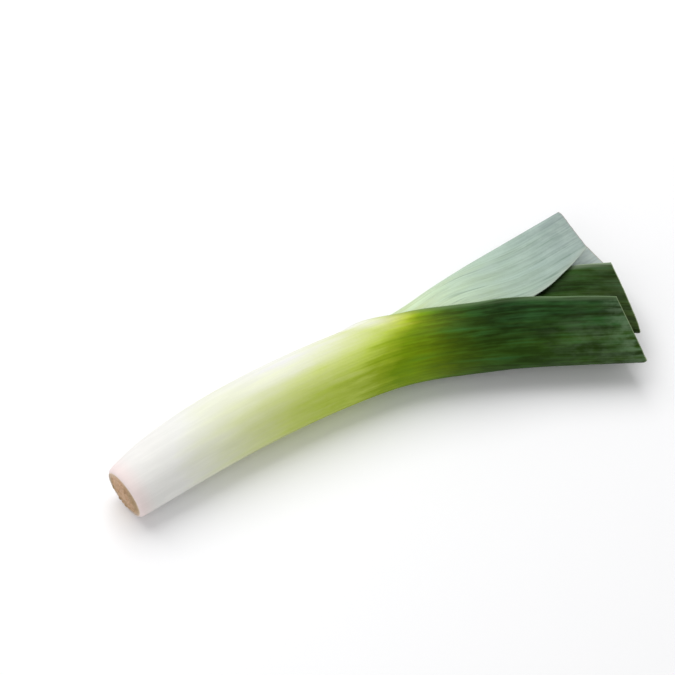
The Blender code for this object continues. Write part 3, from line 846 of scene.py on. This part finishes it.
OUTER = ((0, (232, 229, 227)), (42, (231, 231, 226)), (64, (225, 228, 202)), (90, (211, 218, 160)),
         (112, (198, 210, 120)), (130, (180, 198, 80)), (145, (146, 168, 36)), (160, (108, 136, 10)),
         (176, (86, 114, 14)), (190, (60, 88, 17)), (206, (40, 67, 19)), (222, (32, 58, 19)), (290, (34, 59, 20)))
SECOND = ((0, (232, 232, 218)), (110, (218, 226, 172)), (150, (198, 214, 150)), (168, (194, 212, 160)),
          (184, (196, 214, 178)), (205, (184, 205, 176)), (235, (165, 186, 169)), (265, (150, 169, 160)),
          (292, (137, 151, 148)))
# In the third leaf's colours, the darkest stop at station 232 is painted shadow, cast by the second leaf's margin above
# it
THIRD = ((0, (232, 232, 212)), (120, (206, 218, 134)), (150, (164, 184, 70)), (175, (100, 128, 28)),
         (200, (46, 72, 20)), (232, (20, 41, 8)), (252, (31, 56, 15)), (270, (35, 59, 19)), (296, (44, 62, 32)))
FOURTH = ((0, (238, 238, 216)), (120, (222, 228, 150)), (155, (190, 206, 96)), (185, (150, 176, 70)),
          (215, (118, 148, 66)), (272, (98, 130, 66)))
SHEATH_END = 140    # station up to which a leaf's inner face has the outer one's colours


def lighter(stops, amount):
    """The same colours, paler beyond the sheath."""
    return tuple((at, tuple(v + (amount if at > SHEATH_END else 0) for v in tint)) for at, tint in stops)


def darker(stops, factor):
    """The same colours, deeper beyond the sheath."""
    return tuple((at, tuple(round(v * (factor if at > SHEATH_END else 1.0)) for v in tint)) for at, tint in stops)


# Each leaf's outer and inner face
SKINS = {
    "outer_leaf": (
        Skin(OUTER, streaks=0.95, veins=0.03, margin=(122, 148, 108), seed=1.0, margin_share=0.75, patches=2.5,
             keel=0.36, warmth=1.0, rosy=1.0, bloom=(108, 132, 102), bloom_share=0.30, bloom_from=225.0,
             bloom_at_margin=0.25, frost=0.45, cut=(138, 154, 118), across=True, shine=0.08),
        Skin(darker(OUTER, 0.95), streaks=0.35, veins=0.14, margin=(104, 130, 88), seed=2.0, cut=(160, 174, 140),
             rough=(0.32, 0.48))),
    "second_leaf": (
        Skin(SECOND, streaks=0.20, veins=0.02, margin=(186, 194, 178), seed=3.0, patches=0.9, dark=(104, 126, 112),
             dark_share=0.65, bloom=(186, 204, 192), bloom_share=0.35, cut=(160, 152, 148), rough=(0.5, 0.68),
             shine=0.2),
        # The inner face is painted 48 paler beyond the sheath: painted light on the fold's lower half, which lies in
        # shade
        Skin(lighter(SECOND, 48), streaks=0.16, veins=0.03, margin=(196, 202, 186), seed=4.0, dark=(130, 150, 126),
             dark_share=0.3, bloom=(214, 222, 208), bloom_share=0.35, cut=(190, 186, 170), rough=(0.5, 0.68),
             shine=0.2)),
    "third_leaf": (
        Skin(THIRD, streaks=0.9, veins=0.05, margin=(150, 168, 140), seed=5.0, margin_share=1.0, patches=2.0,
             warmth=0.8, cool=0.3, bloom=(104, 128, 100), bloom_share=0.12, bloom_from=200.0, cut=(150, 164, 128),
             shine=0.05),
        Skin(darker(THIRD, 0.95), streaks=0.4, veins=0.12, margin=(130, 150, 124), seed=6.0)),
    "fourth_leaf": (
        Skin(FOURTH, streaks=0.3, veins=0.08, margin=(176, 194, 130), seed=7.0),
        Skin(FOURTH, streaks=0.3, veins=0.08, margin=(176, 194, 130), seed=8.0)),
}
CUTS = {"outer_leaf": ((196, 208, 160), (70, 98, 44)), "second_leaf": ((206, 210, 186), (140, 156, 132)),
        "third_leaf": ((190, 204, 150), (66, 94, 44)), "fourth_leaf": ((212, 220, 170), (120, 148, 70))}


# Pieces

made = {}
sheath_end = cut_material("sheath_root_end", (232, 218, 196), (234, 214, 200))
for leaf in LEAVES:
    outside, inside = SKINS[leaf.name]
    dress = [skin_material(leaf.name + "_skin", outside), skin_material(leaf.name + "_inside", inside),
             cut_material(leaf.name + "_cut", *CUTS[leaf.name]), sheath_end]
    made[leaf.name] = build_leaf(leaf, dress)
heart_cut = cut_material("heart_cut", (226, 228, 170), (190, 204, 110))
made["heart_leaves"] = build_heart([heart_material("heart_skin"), heart_cut])
cork = root_material("root_cork", ((184, 148, 116), (206, 171, 140), (222, 190, 160)), (128, 112, 66), (228, 206, 182))
made["root_plate"] = build_root_plate([cork, cut_material("root_side", (222, 206, 182), (190, 164, 132))])

# The fine root plate fills the CAD one's box, which gives the shift from here to the frame for all the pieces
corners = np.array([v.co for v in made["root_plate"].data.vertices])
box_low, box_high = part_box("root_plate")
shift_x = box_high.x - corners[:, 0].max()
shift_y = (box_low.y + box_high.y) / 2 - (corners[:, 1].min() + corners[:, 1].max()) / 2
for name, piece in made.items():
    piece.data.transform(Matrix.Translation((shift_x, shift_y, 0.0)))
    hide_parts(name)
    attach(piece, "root")


# Stage

FLOOR_REACH = 4.0
FLOOR_HEIGHT = -0.0002
LIGHTS = (("key", (0.08, 0.70, 1.22), 1.25, 16.4), ("fill", (-1.0, -0.5, 0.9), 1.3, 4.4))    # place, size, watts
LIGHTS_AIM = (0.0, 0.03, 0.02)
WHITE = (1.0, 1.0, 1.0, 1.0)
WORLD_STRENGTH = 0.39

floor_mesh = bpy.data.meshes.new("floor")
floor_corners = [(x * FLOOR_REACH, y * FLOOR_REACH, 0.0) for x, y in ((-1, -1), (1, -1), (1, 1), (-1, 1))]
floor_mesh.from_pydata(floor_corners, [], [(0, 1, 2, 3)])
floor = new_object("floor", floor_mesh)
floor.location.z = FLOOR_HEIGHT
floor_mesh.materials.append(Graph("floor_paper").finish(rgb(250, 250, 251), 0.9, Specular_IOR_Level=0.1))


def placed(right, up, back, place):
    """The matrix that turns an object's axes to these directions and puts it there."""
    return Matrix([(*row, at) for row, at in zip(np.stack([right, up, back], axis=1).tolist(), place)] + [(0, 0, 0, 1)])


def area_light(name, place, size, power):
    """A square white light that faces the leek."""
    lamp = bpy.data.lights.new(name, "AREA")
    lamp.shape, lamp.size, lamp.energy = "SQUARE", size, power
    to = np.array(place) - LIGHTS_AIM
    back = to / np.linalg.norm(to)
    right = np.cross((0.0, 0.0, 1.0), back)
    right /= np.linalg.norm(right)
    new_object(name, lamp).matrix_world = placed(right, np.cross(back, right), back, place)


for light in LIGHTS:
    area_light(*light)

world = bpy.data.worlds.new("studio")
world.use_nodes = True
world.node_tree.nodes["Background"].inputs["Color"].default_value = WHITE
world.node_tree.nodes["Background"].inputs["Strength"].default_value = WORLD_STRENGTH
bpy.context.scene.world = world


# Camera

AZIMUTH, ELEVATION = math.radians(-36.0), math.radians(56.0)
DISTANCE = 0.99
TARGET = (-0.00795, 0.0469, 0.0237)
FOCAL_LENGTH, SENSOR_WIDTH = 100.0, 36.0    # millimetres

back = np.array([math.sin(AZIMUTH) * math.cos(ELEVATION), -math.cos(AZIMUTH) * math.cos(ELEVATION),
                 math.sin(ELEVATION)])
right = np.array([math.cos(AZIMUTH), math.sin(AZIMUTH), 0.0])
lens = bpy.data.cameras.new("camera")
lens.lens, lens.sensor_width = FOCAL_LENGTH, SENSOR_WIDTH
camera = new_object("camera", lens)
camera.matrix_world = placed(right, np.cross(back, right), back, np.array(TARGET) + back * DISTANCE)
bpy.context.scene.camera = camera
bpy.context.scene.view_settings.view_transform = "Standard"
